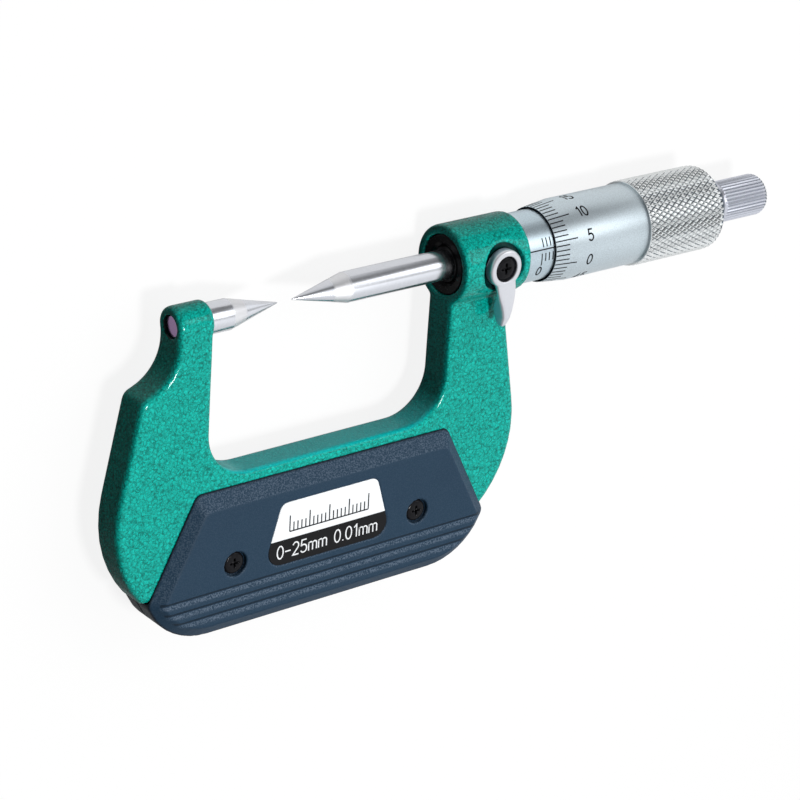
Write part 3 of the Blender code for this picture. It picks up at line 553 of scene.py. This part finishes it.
def filled_cuts(name, strokes, lay, width):
    """Thin raised fillings along drawn strokes. lay turns a drawn point and a height into a point."""
    bm = bmesh.new()
    for stroke in strokes:
        points = [Vector(stroke[0])]
        for start, end in zip(stroke, stroke[1:]):
            parts = max(1, math.ceil((Vector(end) - Vector(start)).length / LONGEST_CUT))
            points += [Vector(start).lerp(Vector(end), i / parts) for i in range(1, parts + 1)]
        rings = []
        for i, point in enumerate(points):
            last = i + 1 == len(points)
            before = (point - points[i - 1]).normalized() if i else Vector((0.0, 0.0))
            after = Vector((0.0, 0.0)) if last else (points[i + 1] - point).normalized()
            run = (before + after).normalized()
            side = Vector((-run.y, run.x)) * width / 2
            if i and not last:
                side /= max(0.5, run.dot(after))
            left, right = point + side, point - side
            top = [(left, FILL_PROUD), (right, FILL_PROUD)]
            foot = [(right, -FILL_DEPTH), (left, -FILL_DEPTH)]
            rings.append([bm.verts.new(lay(p.x, p.y, h)) for p, h in top + foot])
        for ring, after in zip(rings, rings[1:]):
            for i in range(4):
                j = (i + 1) % 4
                bm.faces.new((ring[i], ring[j], after[j], after[i]))
        bm.faces.new(rings[0])
        bm.faces.new(rings[-1])
    return set_down(name, bm)


def on_sleeve(x, turn, height):
    """x is the distance along the sleeve and turn the distance round it, both in millimetres."""
    angle = turn / SLEEVE_R
    r = SLEEVE_R + height
    return (x, r * math.cos(angle), r * math.sin(angle))


sleeve_profile = [
    (SLEEVE_FROM, SLEEVE_BORE),
    (SLEEVE_FROM, SLEEVE_R - 0.1),
    (SLEEVE_FROM + 0.1, SLEEVE_R),
    (SLEEVE_TO - 0.15, SLEEVE_R),
    (SLEEVE_TO, SLEEVE_R - 0.15),
    (SLEEVE_TO, SLEEVE_BORE),
]
sleeve_chrome = satin_chrome("satin_chromed_sleeve", tone=(0.65, 0.77, 0.84), frost=0.36)
sleeve = turned("sleeve_tube", sleeve_profile, sides=128)
fit(sleeve, sleeve_chrome, "frame", "satin_chrome", "sleeve")


def cut_round(x, angles, r):
    """A cut that runs round a piece between two angles."""
    return [(x, math.radians(angle) * r) for angle in angles]


datum = math.radians(DATUM_ANGLE) * SLEEVE_R
sleeve_cuts = [[(SLEEVE_FROM + 0.05, datum), (SLEEVE_TO - 0.2, datum)]]
for whole in range(TRAVEL + 1):
    angles = FIVE_ANGLES if whole % 5 == 0 else WHOLE_ANGLES
    sleeve_cuts.append(cut_round(ZERO_X + whole, angles, SLEEVE_R))
    if whole < TRAVEL:
        sleeve_cuts.append(cut_round(ZERO_X + whole + 0.5, HALF_ANGLES, SLEEVE_R))
black_fill = line_black()
sleeve_divisions = filled_cuts("sleeve_divisions", sleeve_cuts, on_sleeve, CUT_WIDTH)
fit(sleeve_divisions, black_fill, "frame", "black_steel")


def upright_figures(text, x, degrees, height, r):
    """Figures that stand with their tops towards the datum line's far side."""
    strokes = lettering(text, 0.0, 0.0, height)
    return [[(x + u, math.radians(degrees) * r - v) for u, v in stroke] for stroke in strokes]


figure_strokes = []
for whole in range(0, TRAVEL + 1, 5):
    place = ZERO_X + whole - 0.13
    figure_strokes += upright_figures(str(whole), place, FIGURE_ANGLE, FIGURE_HEIGHT, SLEEVE_R)
sleeve_figures = filled_cuts("sleeve_figures", figure_strokes, on_sleeve, FIGURE_CUT)
fit(sleeve_figures, black_fill, "frame", "black_steel")

# Thimble: a satin chromed drum that turns with the spindle. Its bevelled lip carries fifty
# divisions of a hundredth of a millimetre, and a knurling tool has rolled the raised band at its
# end into rows of small diamonds.

LIP_X = ZERO_X + READING
LIP_R = 8.1
DRUM_R = 8.85
DRUM_X = LIP_X + 6.5
GRIP_FROM = 91.9
GRIP_TO = 114.2
GRIP_R = 9.4
GRIP_EDGE = 1.5
EDGE_STEPS = 6
THREAD_BORE = 3.15
THREAD_BORE_FROM = 98.0
TAPER_BORE = 2.7
RATCHET_BORE = 3.75
RATCHET_SEAT = 112.15
KNURL_ROUND = 48
KNURL_STEP = 2.05
KNURL_DEPTH = 0.3
KNURL_SAMPLES = 6
DIVISIONS = 50
FIRST_DIVISION = 105.2
DIVISION_TO = 69.5
FIVE_DIVISION_TO = 71.65
DIVISION_CUT = 0.27
RING_FIGURES_X = 75.2
RING_FIGURE_HEIGHT = 2.5
RING_FIGURE_CUT = 0.36

thimble_profile = [
    (LIP_X + 1.2, SLEEVE_R + 0.15),
    (LIP_X, LIP_R - 0.14),
    (LIP_X, LIP_R - 0.03),
    (LIP_X + 0.04, LIP_R),
    (DRUM_X, DRUM_R),
    (GRIP_FROM - 0.02, DRUM_R),
    (GRIP_FROM + 0.3, DRUM_R - 0.1),
    (GRIP_TO - GRIP_EDGE, DRUM_R - 0.1),
    (GRIP_TO - 0.15, DRUM_R - 1.3),
    (GRIP_TO - 0.15, RATCHET_BORE),
    (RATCHET_SEAT, RATCHET_BORE),
    (RATCHET_SEAT, TAPER_BORE),
    (SPINDLE_END, TAPER_BORE),
    (TAPER_FROM, THREAD_BORE),
    (THREAD_BORE_FROM, THREAD_BORE),
    (THREAD_BORE_FROM, SLEEVE_R + 0.15),
]
# Painted shade: the lip's end face and the bore inside it are painted dark, as the shadow line between
# lip and sleeve.
thimble_chrome = satin_chrome(
    "satin_chromed_thimble",
    tone=(0.7, 0.79, 0.84),
    frost=0.4,
    groove_foot=LIP_R - 0.06,
    groove_top=LIP_R - 0.02,
)
drum = turned("thimble_drum", thimble_profile, sides=160)
fit(drum, thimble_chrome, "thimble", "satin_chrome", "thimble")


def knurl_height(x, share):
    """How far a point of the band stands up: two families of V grooves that cross."""
    turns = share * KNURL_ROUND
    steps = (x - GRIP_FROM) / KNURL_STEP
    grooves = [abs(math.remainder(turns + way * steps, 1.0)) * 2 for way in (1, -1)]
    return min(1.0, 1.5 * min(grooves)) * KNURL_DEPTH


def ring_of(bm, x, radii):
    """A ring of points round the spindle's line, one for each radius."""
    angles = [math.tau * i / len(radii) for i in range(len(radii))]
    return [bm.verts.new((x, r * math.cos(a), r * math.sin(a))) for r, a in zip(radii, angles)]


def knurled_band():
    count = KNURL_ROUND * KNURL_SAMPLES
    edge_x = GRIP_TO - GRIP_EDGE
    edge_r = GRIP_R - GRIP_EDGE
    rows = math.floor((edge_x - GRIP_FROM) / KNURL_STEP * KNURL_SAMPLES)
    places = [(GRIP_FROM + KNURL_STEP * i / KNURL_SAMPLES, GRIP_R, 1.0) for i in range(rows + 1)]
    places[0] = (GRIP_FROM, GRIP_R - 0.12, 0.0)
    for i in range(1, EDGE_STEPS + 1):
        a = math.pi / 2 * i / EDGE_STEPS
        x = edge_x + GRIP_EDGE * math.sin(a)
        places.append((x, edge_r + GRIP_EDGE * math.cos(a), 1.0 - i / EDGE_STEPS))
    places += [
        (GRIP_TO, 4.6, 0.0),
        (GRIP_TO - 0.3, 4.4, 0.0),
        (GRIP_TO - 0.3, 3.8, 0.0),
        (GRIP_FROM + 1.0, DRUM_R - 0.45, 0.0),
        (GRIP_FROM, DRUM_R - 0.2, 0.0),
    ]
    bm = bmesh.new()
    rings = []
    for x, r, share in places:
        heights = [knurl_height(x, i / count) for i in range(count)]
        rings.append(ring_of(bm, x, [r - KNURL_DEPTH * share + height * share for height in heights]))
    for ring, after in zip(rings, rings[1:] + rings[:1]):
        for i in range(count):
            j = (i + 1) % count
            corners = [ring[i], ring[j], after[j], after[i]]
            radii = [math.hypot(corner.co.y, corner.co.z) for corner in corners]
            if abs(radii[1] - radii[3]) < abs(radii[0] - radii[2]):
                corners = corners[1:] + corners[:1]
            bm.faces.new((corners[0], corners[1], corners[2]))
            bm.faces.new((corners[0], corners[2], corners[3]))
    return set_down("thimble_knurl", bm, sharp=20.0)


# The knurled band is given a lighter chrome tone than the drum's, as painted light, and painted shade
# darkens its grooves.
knurl_chrome = satin_chrome(
    "chromed_knurl",
    tone=(0.94, 1.0, 1.0),
    frost=0.22,
    groove_foot=GRIP_R - 0.95 * KNURL_DEPTH,
    groove_top=GRIP_R - 0.57 * KNURL_DEPTH,
    grooves_from=GRIP_FROM,
)
fit(knurled_band(), knurl_chrome, "thimble", "satin_chrome")


def on_lip(x, turn, height):
    """x is the distance along the thimble and turn the distance round its drum, in millimetres."""
    angle = turn / DRUM_R
    r = min(DRUM_R, LIP_R + (x - LIP_X) * (DRUM_R - LIP_R) / (DRUM_X - LIP_X)) + height
    return (x, r * math.cos(angle), r * math.sin(angle))


ring_cuts = []
ring_strokes = []
for division in range(DIVISIONS):
    angle = FIRST_DIVISION - 360.0 / DIVISIONS * division
    place = math.radians(angle) * DRUM_R
    five = division % 5 == 0
    ring_cuts.append([(LIP_X + 0.06, place), (FIVE_DIVISION_TO if five else DIVISION_TO, place)])
    if five:
        ring_strokes += upright_figures(str(division), RING_FIGURES_X, angle, RING_FIGURE_HEIGHT, DRUM_R)
thimble_divisions = filled_cuts("thimble_divisions", ring_cuts, on_lip, DIVISION_CUT)
fit(thimble_divisions, black_fill, "thimble", "black_steel")
thimble_figures = filled_cuts("thimble_figures", ring_strokes, on_lip, RING_FIGURE_CUT)
fit(thimble_figures, black_fill, "thimble", "black_steel")

# Ratchet knob: a slim chromed knob with straight flutes for the fingertips and a plain collar at
# its root. It slips on the thimble once the points bear on the work with the right force.

KNOB_FROM = 118.0
KNOB_TO = 132.0
KNOB_R = 4.65
KNOB_FLUTES = 36
FLUTE_DEPTH = 0.26
FLUTE_SAMPLES = 8
KNOB_BORE = 3.75
SCREW_WELL = 2.6


def fluted_knob():
    places = [
        (KNOB_FROM, KNOB_BORE, 0.0),
        (KNOB_FROM, KNOB_R - 0.45, 0.0),
        (KNOB_FROM + 0.25, KNOB_R - 0.15, 0.0),
        (KNOB_FROM + 0.45, KNOB_R - 0.1, 0.0),
        (KNOB_FROM + 0.95, KNOB_R - 0.1, 0.0),
        (KNOB_FROM + 1.1, KNOB_R, 0.6),
        (KNOB_FROM + 1.4, KNOB_R, 1.0),
        (KNOB_TO - 1.2, KNOB_R, 1.0),
        (KNOB_TO - 0.8, KNOB_R - 0.15, 0.9),
        (KNOB_TO - 0.4, KNOB_R - 0.45, 0.6),
        (KNOB_TO - 0.12, KNOB_R - 0.85, 0.2),
        (KNOB_TO, KNOB_R - 1.2, 0.0),
        (KNOB_TO, SCREW_WELL + 0.1, 0.0),
        (KNOB_TO - 0.1, SCREW_WELL, 0.0),
        (KNOB_TO - 1.85, SCREW_WELL, 0.0),
        (KNOB_TO - 1.85, SCREW_HOLE_R, 0.0),
        (KNOB_TO - 3.8, SCREW_HOLE_R, 0.0),
        (KNOB_TO - 3.8, KNOB_BORE, 0.0),
    ]
    bm = bmesh.new()
    count = KNOB_FLUTES * FLUTE_SAMPLES
    waves = [(0.5 - 0.5 * math.cos(math.tau * i / FLUTE_SAMPLES)) ** 0.7 for i in range(count)]
    rings = [ring_of(bm, x, [r - FLUTE_DEPTH * share * wave for wave in waves]) for x, r, share in places]
    for ring, after in zip(rings, rings[1:] + rings[:1]):
        for i in range(count):
            j = (i + 1) % count
            bm.faces.new((ring[i], ring[j], after[j], after[i]))
    return set_down("ratchet_grip", bm, sharp=40.0)


# Painted shade: the flutes are painted darker towards their feet.
knob_chrome = satin_chrome(
    "chromed_knob",
    tone=(0.74, 0.76, 0.84),
    frost=0.3,
    groove_foot=KNOB_R - 1.7 * FLUTE_DEPTH,
    groove_top=KNOB_R - 0.08,
)
fit(fluted_knob(), knob_chrome, "ratchet_knob", "satin_chrome", "ratchet_knob")

# Lock lever: a small zinc casting with a ring head and a hooked tail, satin chromed, held on its
# stud by a black cross-head screw. Pushed over, it clamps the spindle.

LEVER_SKIN = 0.13
LOCK_SCREW_SKIN = 0.09


def cast_chrome():
    chrome = Finish("satin_cast_lever", {"Metallic": 1.0})
    pits = chrome.noise(chrome.place(), 2.5, 4.0)
    # Painted shade: below the lever's polished face its sides are painted a darker blue-grey, as in
    # shade.
    sides = chrome.fade(chrome.along(chrome.place(), "Z"), 8.0, 8.6)
    face = chrome.mix(pits, (0.8, 0.81, 0.86), (0.88, 0.89, 0.93))
    chrome.feed("Base Color", chrome.mix(sides * 0.9, face, (0.45, 0.52, 0.62)))
    chrome.feed("Roughness", 0.28 + pits * 0.14 + sides * 0.15)
    chrome.bump(pits, 0.03, 0.5)
    return chrome.material


def blackened():
    black = Finish("blackened_steel", {"Specular IOR Level": 0.11})
    wear = black.noise(black.place(), 2.0, 4.0)
    black.feed("Base Color", black.mix(wear, (0.002, 0.002, 0.003), (0.012, 0.012, 0.014)))
    black.feed("Roughness", 0.08 + wear * 0.12)
    return black.material


screw_black = blackened()
lever = softened("lever_cast", "lock_lever", skin=LEVER_SKIN, passes=5)
fit(lever, cast_chrome(), "lock_lever", "satin_chrome", "lock_lever")
lever_screw = softened("lever_screw", "lock_screw", skin=LOCK_SCREW_SKIN, passes=2)
fit(lever_screw, screw_black, "lock_lever", "black_steel", "lock_screw")

# Covers: two mouldings in blue-grey plastic that keep the hand's warmth off the casting. They wrap
# round the foot of the bow and meet behind it, and three saw-tooth grooves give the fingers grip.
# The tool was spark eroded, so the plastic has a fine even grain.

COVER_SKIN = 0.26
COVER_SCREW_SKIN = 0.1
CASTING_HALF = 4.0
COVER_FACE = 6.3
GROOVE_TOP = -56.7
GROOVE_PITCH = 2.55
GROOVES = 3


def grained_plastic():
    """Blue-grey plastic: its grain is speckled all over, with painted glints where it slopes up and
    painted shade in the grooves.
    """
    plastic = Finish("blue_grey_plastic", {"Specular IOR Level": 0.14})
    where = plastic.place()
    grain = plastic.noise(where, 3.2, 3.0, 0.6)
    flow = plastic.noise(where, 0.12, 3.0)
    height = plastic.node("ShaderNodeMath", {"operation": "ABSOLUTE"}, {0: plastic.along(where, "Z")})
    # Painted shadow: a dark line is painted along the cover's edge where it meets the casting.
    seam_shadow = plastic.fade(height, CASTING_HALF + 0.25, CASTING_HALF + 0.6)
    # Painted highlight: the grain's speckle is painted lighter where the surface faces +Y and on each
    # groove's rise.
    upslope_glint = plastic.step(plastic.facing("Y"), 0.1, 0.4)
    y = plastic.along(where, "Y")
    foot = GROOVE_TOP - GROOVES * GROOVE_PITCH
    rows = plastic.step(y, foot, foot + 0.2) * plastic.fade(y, GROOVE_TOP + 0.1, GROOVE_TOP + 0.3)
    rows *= plastic.step(height, COVER_FACE - 0.9, COVER_FACE - 0.6)
    turns = (GROOVE_TOP + 0.15 - y) / GROOVE_PITCH
    share = plastic.node("ShaderNodeMath", {"operation": "FRACT"}, {0: turns})
    # Painted shade: the steep side of each groove is painted dark.
    drop_shade = plastic.fade(share, 0.18, 0.3) * rows
    rise = plastic.step(share, 0.2, 0.34) * plastic.fade(share, 0.5, 0.68) * rows
    base = plastic.mix(flow, (0.013, 0.036, 0.067), (0.016, 0.042, 0.075))
    grain_and_glint = plastic.step(grain, 0.42, 0.62) * (0.1 + upslope_glint * 0.55 + rise * 0.6)
    glinting_grain = plastic.mix(grain_and_glint, base, (0.09, 0.13, 0.185))
    shaded = plastic.mix(drop_shade * 0.75, glinting_grain, (0.004, 0.01, 0.018))
    plastic.feed("Base Color", plastic.mix(seam_shadow * 0.8, shaded, (0.004, 0.006, 0.009)))
    plastic.feed("Roughness", 0.42 + grain * 0.2)
    plastic.bump(grain, 0.05, 0.8)
    return plastic.material


cover_plastic = grained_plastic()
for side in ("front", "rear"):
    cover = f"{side}_cover"
    shell = softened(f"{side}_shell", cover, skin=COVER_SKIN, passes=3)
    fit(shell, cover_plastic, "frame", "cover_plastic", cover)
    for number in (1, 2):
        solid = f"{side}_cover_screw_{number}"
        screw = softened(f"{side}_screw_{number}", solid, skin=COVER_SCREW_SKIN, passes=2)
        fit(screw, screw_black, "frame", "black_steel", solid)

# Scale plate: thin printed metal let into the front cover. A plain row of divisions stands on its
# white field, and the range and the value of a division stand in white on its black foot.

PLATE_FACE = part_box("scale_plate")[1][2] / MM - MARK_Z / MM
PLATE_SKIN = 0.12
BAND_TOP = -49.55
PRINT_WIDTH = 0.3
LEGEND_HEIGHT = 2.95
LEGEND_GAP = 0.12
LEGEND_Y = -53.7
RANGE_X = -2.3
DIVISION_X = 12.2
RULE_X = 0.7
RULE_Y = -48.0
RULE_LENGTH = 20
TALL_MARK = 3.6
SHORT_MARK = 2.0


def printed_plate():
    enamel = Finish("printed_plate", {"Specular IOR Level": 0.15})
    where = enamel.place()
    grain = enamel.noise(where, 2.0, 3.0)
    foot = enamel.fade(enamel.along(where, "Y"), BAND_TOP - 0.03, BAND_TOP + 0.03)
    white = enamel.mix(grain, (0.9, 0.93, 0.96), (0.94, 0.97, 0.99))
    enamel.feed("Base Color", enamel.mix(foot, white, (0.004, 0.004, 0.005)))
    enamel.feed("Roughness", 0.35 + grain * 0.1)
    return enamel.material


def white_print():
    ink = Finish("white_print", {"Specular IOR Level": 0.3})
    grain = ink.noise(ink.place(), 3.0, 2.0)
    ink.feed("Base Color", ink.mix(grain, (0.8, 0.82, 0.84), (0.9, 0.92, 0.94)))
    ink.feed("Roughness", 0.45 + grain * 0.1)
    return ink.material


def on_plate(x, y, height):
    return (x, y, PLATE_FACE + height)


plate = softened("printed_plate", "scale_plate", skin=PLATE_SKIN, passes=2)
fit(plate, printed_plate(), "frame", "plate_white", "scale_plate")
words = []
for text, x in (("0-25mm", RANGE_X), ("0.01mm", DIVISION_X)):
    words += lettering(text, x, LEGEND_Y, LEGEND_HEIGHT, LEGEND_GAP, centred=False)
legend = filled_cuts("plate_legend", words, on_plate, PRINT_WIDTH)
fit(legend, white_print(), "frame", "plate_white")
rule = [[(RULE_X, RULE_Y), (RULE_X + RULE_LENGTH, RULE_Y)]]
for division in range(RULE_LENGTH + 1):
    x = RULE_X + division
    rule.append([(x, RULE_Y), (x, RULE_Y + (TALL_MARK if division % 5 == 0 else SHORT_MARK))])
plate_divisions = filled_cuts("plate_divisions", rule, on_plate, PRINT_WIDTH)
fit(plate_divisions, black_fill, "frame", "black_steel")

# Studio: the micrometer lies on its back on a plain pale floor, under large soft lamps, and the
# camera looks down on it across the anvil.


def pale_floor():
    floor = Finish("pale_floor", {"Roughness": 0.8, "Specular IOR Level": 0.1})
    seen, glossy, through = [floor.ray(kind) for kind in ("Camera", "Glossy", "Transmission")]
    unseen = floor.mix(glossy, (0.03, 0.03, 0.03), (0.6, 0.6, 0.6))
    floor.feed("Base Color", floor.mix(seen, unseen, (0.95, 0.95, 0.95)))
    white = floor.node("ShaderNodeEmission", {}, {"Color": (1.0, 1.0, 1.0, 1.0), "Strength": 1.0})
    plain = Value(floor, floor.shader.outputs[0])
    share = seen * 0.88 + glossy * 0.2 + through * 0.88
    shown = floor.node("ShaderNodeMixShader", {}, {0: share, 1: plain, 2: white})
    floor.tree.links.new(shown.socket, floor.tree.nodes["Material Output"].inputs["Surface"])
    return floor.material


bm = bmesh.new()
bmesh.ops.create_grid(bm, x_segments=1, y_segments=1, size=4.0)
floor_mesh = bpy.data.meshes.new("floor")
bm.to_mesh(floor_mesh)
bm.free()
floor_mesh.materials.append(pale_floor())
floor = bpy.data.objects.new("floor", floor_mesh)
floor.location.z = -0.0002
bpy.context.scene.collection.objects.link(floor)

AIM = Vector((0.0, 0.0, 0.01))


def softbox(name, place, width, height, watts):
    lamp = bpy.data.lights.new(name, "AREA")
    lamp.shape = "RECTANGLE"
    lamp.size = width
    lamp.size_y = height
    lamp.energy = watts
    holder = bpy.data.objects.new(name, lamp)
    holder.location = place
    holder.rotation_euler = (AIM - Vector(place)).to_track_quat("-Z", "Y").to_euler()
    bpy.context.scene.collection.objects.link(holder)
    return holder


softbox("key_softbox", place=(0.55, 0.38, 0.68), width=0.5, height=0.42, watts=0.8)
overhead = softbox("overhead_softbox", place=(-0.03, -0.02, 0.92), width=0.17, height=0.17, watts=6.2)

BRIGHT_METAL = ("sleeve_tube", "thimble_drum", "thimble_knurl", "ratchet_grip", "lever_cast")
flagged = bpy.data.collections.new("flagged_from_overhead")
overhead.light_linking.receiver_collection = flagged
for name in BRIGHT_METAL:
    flagged.objects.link(bpy.data.objects[name])
for entry in flagged.collection_objects:
    entry.light_linking.link_state = "EXCLUDE"

world = bpy.data.worlds.new("studio")
bpy.context.scene.world = world
world.use_nodes = True
sky = Recipe(world.node_tree)
direction = sky.node("ShaderNodeTexCoord", {}, {}, out="Generated")
across = sky.along(direction, "Y")
across_share = sky.node("ShaderNodeMapRange", {}, {"Value": across, "From Min": -1.0, "From Max": 1.0})

GLOSS_BANDS = (
    (-1.0, 0.7),
    (-0.75, 0.75),
    (-0.45, 0.85),
    (-0.12, 1.05),
    (-0.02, 0.35),
    (0.06, 0.35),
    (0.2, 1.0),
    (0.5, 1.0),
    (0.6, 0.14),
    (0.84, 0.14),
    (0.95, 0.7),
    (1.0, 0.8),
)
PAINT_BANDS = (
    (-1.0, 0.2),
    (0.0, 0.75),
    (1.0, 3.1),
)


def sky_light(bands, towards, low, high, dimmest):
    """Light of the room in soft bands of (place, brightness), dimmed away from one side of it."""
    stops = [((place + 1) / 2, (b * 0.97, b * 0.985, b, 1.0)) for place, b in bands]
    light = sky.node("ShaderNodeValToRGB", {"stops": stops}, {"Fac": across_share})
    facing = sky.vector("DOT_PRODUCT", direction, Vector(towards).normalized(), out="Value")
    share = sky.step(facing, low, high, dimmest, 1.0)
    return sky.node("ShaderNodeVectorMath", {"operation": "SCALE"}, {0: light, "Scale": share})


for_gloss = sky_light(GLOSS_BANDS, towards=(1.0, 0.0, 0.2), low=-0.5, high=0.25, dimmest=0.4)
for_paint = sky_light(PAINT_BANDS, towards=(0.9, 0.5, 0.3), low=0.25, high=0.7, dimmest=0.005)
shared = sky.mix(sky.ray("Glossy"), for_paint, for_gloss)
room = sky.node("ShaderNodeBackground", {}, {"Color": shared})
white = sky.node("ShaderNodeBackground", {}, {"Color": (1.0, 1.0, 1.0, 1.0)})
seen = sky.ray("Camera") + sky.ray("Transmission")
backdrop = sky.node("ShaderNodeMixShader", {}, {0: seen, 1: room, 2: white})
sky.tree.links.new(backdrop.socket, sky.tree.nodes["World Output"].inputs["Surface"])

EYE = Vector((-306.144, 204.204, 418.414))
LOOKED_AT = Vector((32.779, -28.522, 0.0))
ROLL = math.radians(3.1446)
SENSOR = 36.0
LENS = 126.521
PICTURE_PIXELS = 800
ahead = (LOOKED_AT - EYE).normalized()
level = ahead.cross(Vector((0.0, 1.0, 0.0))).normalized()
rise = level.cross(ahead)
right = math.cos(ROLL) * level + math.sin(ROLL) * rise
up = math.cos(ROLL) * rise - math.sin(ROLL) * level
camera_data = bpy.data.cameras.new("camera")
camera_data.sensor_width = SENSOR
camera_data.lens = LENS
camera_data.shift_x = -0.5 / PICTURE_PIXELS
camera_data.shift_y = 0.5 / PICTURE_PIXELS
camera_data.clip_start = 0.01
camera = bpy.data.objects.new("camera", camera_data)
bpy.context.scene.collection.objects.link(camera)
turned_to = Matrix((right, up, -ahead)).transposed().to_4x4()
camera.matrix_world = Matrix.Translation(MARK + EYE * MM) @ turned_to
bpy.context.scene.camera = camera
bpy.context.scene.view_settings.view_transform = "Standard"
